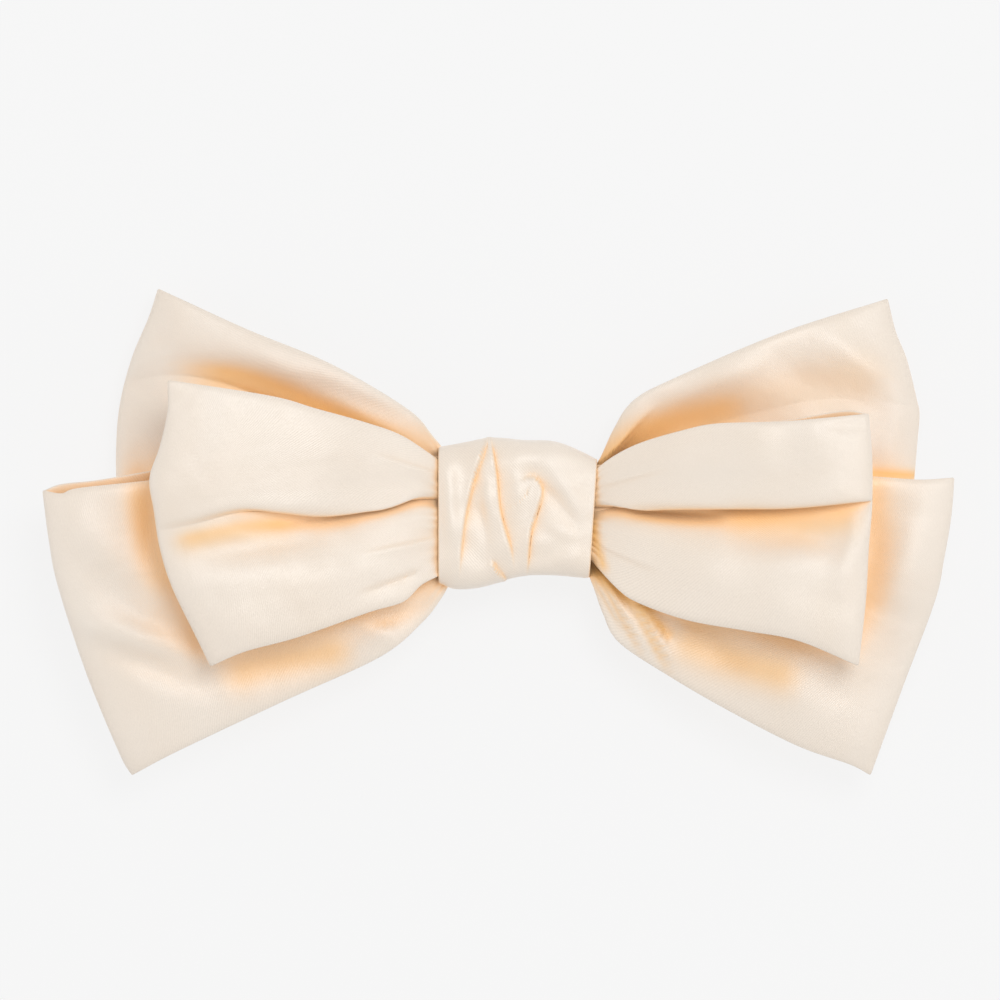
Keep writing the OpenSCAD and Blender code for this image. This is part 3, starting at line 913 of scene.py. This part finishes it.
# %% Foam and release paper
def closed_cell_foam():
    """Extruded closed-cell polyethylene foam: matt white with small pores."""
    material, tree = new_material("white_closed_cell_foam")
    place = add(tree, "ShaderNodeTexCoord")
    cells = add(tree, "ShaderNodeTexVoronoi", {"Vector": place.outputs["Object"], "Scale": 2200.0},
                feature="DISTANCE_TO_EDGE")
    colour = add(tree, "ShaderNodeMix", {"Factor": cells.outputs["Distance"], "A": linear("#dcdad4"),
                                         "B": linear("#f4f3ef")}, data_type="RGBA")
    bump = add(tree, "ShaderNodeBump", {"Height": cells.outputs["Distance"], "Strength": 0.6,
                                        "Distance": 0.0002})
    face = add(tree, "ShaderNodeBsdfPrincipled", {"Base Color": colour.outputs["Result"], "Roughness": 0.8,
                                                  "Normal": bump.outputs[0]})
    add(tree, "ShaderNodeOutputMaterial", {"Surface": face.outputs[0]})
    return material


def release_paper():
    """Calendered paper with a silicone coat: smooth, faintly cloudy, with a soft gloss."""
    material, tree = new_material("white_silicone_release_paper")
    place = add(tree, "ShaderNodeTexCoord")
    cloud = add(tree, "ShaderNodeTexNoise", {"Vector": place.outputs["Object"], "Scale": 420.0,
                                             "Detail": 5.0})
    colour = add(tree, "ShaderNodeMix", {"Factor": cloud.outputs["Fac"], "A": linear("#e6e4dd"),
                                         "B": linear("#f2f1ec")}, data_type="RGBA")
    rough = add(tree, "ShaderNodeMapRange", {"Value": cloud.outputs["Fac"], "To Min": 0.25, "To Max": 0.4})
    bump = add(tree, "ShaderNodeBump", {"Height": cloud.outputs["Fac"], "Strength": 0.15, "Distance": 0.0001})
    face = add(tree, "ShaderNodeBsdfPrincipled", {"Base Color": colour.outputs["Result"],
                                                  "Roughness": rough.outputs[0], "Normal": bump.outputs[0]})
    add(tree, "ShaderNodeOutputMaterial", {"Surface": face.outputs[0]})
    return material


thread_finish = spun_thread()
felt_finish = matted_felt()
foam_finish = closed_cell_foam()
paper_finish = release_paper()

# %% [markdown]
# Every winding fills the box of its CAD node, so its number of turns follows from the thread's diameter.
# The binding thread goes round three rounded waists, so its corners are rounder. The knot squeezes all of
# them a little, as it does the cloth.

# %% Windings
THREAD_D = 0.5 * MM
TOUCHING = 0.98     # the thread drawn is this share of its pitch, so that turns show apart
CORNER = {node: 2.3 * MM for node in ("upper_gather_thread", "lower_gather_thread", "front_gather_thread")}
CORNER["binding_thread"] = 3.2 * MM
turns_tree = winding_tree()
windings = {}
for node, corner in CORNER.items():
    low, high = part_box(node)
    across = high - low
    turns = max(1, round(across.x / THREAD_D))
    sizes = {"Turns": turns, "Pitch": THREAD_D, "Width": across.y - THREAD_D, "Height": across.z - THREAD_D,
             "Corner": corner, "Thread": TOUCHING * THREAD_D, "Place": low.x + THREAD_D / 2,
             "Level": (low.z + high.z) / 2}
    windings[node] = grown(node + "_turns", turns_tree, sizes, thread_finish)
    for vertex in windings[node].data.vertices:
        vertex.co.y = squeeze(np.array(vertex.co) / MM)[1] * MM
    print(node, turns, "turns,", len(windings[node].data.polygons), "faces")

# %% [markdown]
# A row of stitches closes the wrap at the back. Each is a short arc of thread that dips into the cloth at
# both ends.

# %% A tree for a row of stitches
STITCH = {"Count": 7, "Pitch": 5.0, "Length": 3.2, "Thread": 0.5, "First": 0.0, "Row": 0.0, "Level": 0.0}


def stitch_tree():
    """Stitches along x, an even pitch apart."""
    tree = new_tree("row_of_stitches", STITCH)
    given = add(tree, "NodeGroupInput").outputs
    half = add(tree, "ShaderNodeMath", {0: given["Length"], 1: 0.5}, operation="MULTIPLY")
    back = add(tree, "ShaderNodeMath", {0: half.outputs[0], 1: -1.0}, operation="MULTIPLY")
    dip = add(tree, "ShaderNodeMath", {0: given["Thread"], 1: 0.9}, operation="MULTIPLY")
    start = add(tree, "ShaderNodeCombineXYZ", {"X": back.outputs[0], "Z": dip.outputs[0]})
    stop = add(tree, "ShaderNodeCombineXYZ", {"X": half.outputs[0], "Z": dip.outputs[0]})
    arc = add(tree, "GeometryNodeCurveQuadraticBezier", {"Resolution": 10, "Start": start.outputs[0],
                                                         "Middle": (0, 0, 0), "End": stop.outputs[0]})
    radius = add(tree, "ShaderNodeMath", {0: given["Thread"], 1: 0.45}, operation="MULTIPLY")
    profile = add(tree, "GeometryNodeCurvePrimitiveCircle", {"Resolution": 8, "Radius": radius.outputs[0]})
    stitch = add(tree, "GeometryNodeCurveToMesh", {"Curve": arc.outputs[0],
                                                   "Profile Curve": profile.outputs[0], "Fill Caps": True})
    first = add(tree, "ShaderNodeCombineXYZ", {"X": given["First"], "Y": given["Row"], "Z": given["Level"]})
    step = add(tree, "ShaderNodeCombineXYZ", {"X": given["Pitch"]})
    line = add(tree, "GeometryNodeMeshLine", {"Count": given["Count"], "Start Location": first.outputs[0],
                                              "Offset": step.outputs[0]}, mode="OFFSET", count_mode="TOTAL")
    copies = add(tree, "GeometryNodeInstanceOnPoints", {"Points": line.outputs[0],
                                                        "Instance": stitch.outputs[0]})
    real = add(tree, "GeometryNodeRealizeInstances", {"Geometry": copies.outputs[0]})
    coloured = add(tree, "GeometryNodeSetMaterial", {"Geometry": real.outputs[0],
                                                     "Material": given["Material"]})
    add(tree, "NodeGroupOutput", {0: coloured.outputs[0]})
    return tree


# %% The row of stitches
STITCH_L = 3.2 * MM
STITCHES = 7
low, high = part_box("wrap_stitches")
pitch = (high.x - low.x - STITCH_L) / (STITCHES - 1)
stitches = grown("wrap_stitch_row", stitch_tree(),
                 {"Count": STITCHES, "Pitch": pitch, "Length": STITCH_L, "Thread": THREAD_D,
                  "First": low.x + STITCH_L / 2, "Row": (low.y + high.y) / 2, "Level": low.z + THREAD_D / 2},
                 thread_finish)
print("stitches", STITCHES, "at a pitch of", round(pitch / MM, 2), "mm")

# %% [markdown]
# ## Felt, foam pad and liner
#
# Felt and foam are cut from sheets with a rounded die, so each is a flat slab with round corners and a rim
# that is only slightly soft. The liner is a thin sheet of paper that the CAD model already draws well.

# %% A slab cut with a rounded die
CORNER_POINTS = 9
FACE_INSET = 1.2 * MM  # a loop just inside the rim keeps the flat faces flat when shaded smooth


def rounded_outline(centre, half, corner):
    """Corner points of a rectangle with rounded corners, once round it."""
    outline = []
    for quarter, (sx, sy) in enumerate(((1, 1), (-1, 1), (-1, -1), (1, -1))):
        for i in range(CORNER_POINTS):
            a = math.radians(90 * quarter + 90 * i / (CORNER_POINTS - 1))
            x = sx * (half.x - corner) + corner * math.cos(a)
            y = sy * (half.y - corner) + corner * math.sin(a)
            outline.append((centre.x + x, centre.y + y))
    return outline


def slab(name, node, corner, soften):
    """A slab with rounded corners that fills a CAD node's box, with softened rims."""
    low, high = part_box(node)
    outline = rounded_outline((low + high) / 2, (high - low) / 2, corner)
    mesh = bmesh.new()
    base = mesh.faces.new([mesh.verts.new((x, y, low.z)) for x, y in outline])
    raised = bmesh.ops.extrude_face_region(mesh, geom=[base])["geom"]
    top = [part for part in raised if isinstance(part, bmesh.types.BMVert)]
    bmesh.ops.translate(mesh, vec=(0, 0, high.z - low.z), verts=top)
    bmesh.ops.recalc_face_normals(mesh, faces=mesh.faces)
    rims = [e for e in mesh.edges if abs(e.verts[0].co.z - e.verts[1].co.z) < 1e-7]
    bmesh.ops.bevel(mesh, geom=rims, offset=soften, segments=3, profile=0.5, affect="EDGES")
    for face in [f for f in mesh.faces if len(f.verts) > 4]:
        bmesh.ops.inset_region(mesh, faces=[face], thickness=FACE_INSET)
    data = bpy.data.meshes.new(name)
    mesh.to_mesh(data)
    mesh.free()
    data.polygons.foreach_set("use_smooth", [True] * len(data.polygons))
    piece = bpy.data.objects.new(name, data)
    bpy.context.scene.collection.objects.link(piece)
    return piece


# %% Felt, foam and liner
felt = slab("felt_backing", "felt_patch", 5 * MM, 0.3 * MM)
foam = slab("adhesive_foam_pad", "foam_pad", 4 * MM, 0.15 * MM)
felt.data.materials.append(felt_finish)
foam.data.materials.append(foam_finish)
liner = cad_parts["release_liner"]
liner.data.materials.clear()
liner.data.materials.append(paper_finish)
print("felt", len(felt.data.polygons), "faces, foam", len(foam.data.polygons), "faces")

# %% [markdown]
# ## Joining the pieces to the frame
#
# Each piece rides on its CAD body and replaces the plain solid that stood in for it.

# %% Ride and replace
for bow, piece in bows.items():
    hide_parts(bow + "_bow")
    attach(piece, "bow")
    width, length = piece["flat_mm"]
    del piece["flat_mm"]
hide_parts("knot_wrap")
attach(knot, "bow")
del knot["flat_mm"]
for node, piece in list(windings.items()) + [("wrap_stitches", stitches)]:
    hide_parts(node)
    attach(piece, "bow")
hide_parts("felt_patch")
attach(felt, "bow")
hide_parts("foam_pad")
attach(foam, "bow")

# %% [markdown]
# ## Floor, light and camera
#
# The bow lies on a pale floor and is seen from straight above through a long lens, so that its outline is
# not distorted. The floor glows evenly, as a lit sweep of paper does, and so stays free of hard shadows.

# %% Floor
FLOOR = 6.0             # half its width, in metres
FLOOR_GLOW = 0.825      # with the light that falls on it, the floor comes out almost white
scene = bpy.context.scene
scene.view_settings.view_transform = "Standard"
floor_mesh = bpy.data.meshes.new("floor")
floor_corners = [(-FLOOR, -FLOOR, 0), (FLOOR, -FLOOR, 0), (FLOOR, FLOOR, 0), (-FLOOR, FLOOR, 0)]
floor_mesh.from_pydata(floor_corners, [], [(0, 1, 2, 3)])
floor = bpy.data.objects.new("floor", floor_mesh)
scene.collection.objects.link(floor)
floor_finish, floor_tree = new_material("pale_studio_floor")
matt = add(floor_tree, "ShaderNodeBsdfDiffuse", {"Color": (0.1, 0.1, 0.1, 1)})
glow = add(floor_tree, "ShaderNodeEmission", {"Color": (1, 1, 1, 1), "Strength": FLOOR_GLOW})
lit = add(floor_tree, "ShaderNodeAddShader", {0: matt.outputs[0], 1: glow.outputs[0]})
add(floor_tree, "ShaderNodeOutputMaterial", {"Surface": lit.outputs[0]})
floor_mesh.materials.append(floor_finish)

# %% [markdown]
# Satin shows its folds by where it is bright. A small softbox above and behind gives each fold a lit side,
# two wider ones low at the sides give the rims a soft sheen, and pale surroundings fill the rest.

# %% Light
world = bpy.data.worlds.new("studio")
scene.world = world
world.use_nodes = True
surroundings = world.node_tree.nodes["Background"].inputs
surroundings["Color"].default_value = (1, 1, 1, 1)
surroundings["Strength"].default_value = 0.6
AIM = Vector((0, 0, 0.02))


def soft_light(name, place, side, power):
    """A square softbox at a place, turned towards the bow."""
    light = bpy.data.lights.new(name, "AREA")
    light.shape = "RECTANGLE"
    light.size = side
    light.size_y = side
    light.energy = power
    lamp = bpy.data.objects.new(name, light)
    lamp.location = place
    lamp.rotation_mode = "QUATERNION"
    lamp.rotation_quaternion = (AIM - Vector(place)).to_track_quat("-Z", "Y")
    scene.collection.objects.link(lamp)
    print(name, "of", power, "W")


soft_light("overhead_softbox", (0.25, 0.35, 1.1), 0.5, 5.0)
soft_light("left_softbox", (-0.9, -0.2, 0.5), 0.8, 1.6)
soft_light("right_softbox", (0.9, -0.2, 0.5), 0.8, 1.3)

# %% Camera
VIEW_W = 0.250          # width of the view where the bow's cloth is, in metres
CLOTH_LEVEL = 0.02      # height of that cloth
VIEW_MIDDLE = (-0.0040, 0.0036)
camera_data = bpy.data.cameras.new("camera")
camera_data.lens = 200
camera_data.sensor_width = 36
camera = bpy.data.objects.new("camera", camera_data)
camera_height = VIEW_W / 2 / (camera_data.sensor_width / 2 / camera_data.lens)
camera.location = (*VIEW_MIDDLE, camera_height + CLOTH_LEVEL)
scene.collection.objects.link(camera)
scene.camera = camera
print("camera", round(camera_height, 3), "m above the cloth")
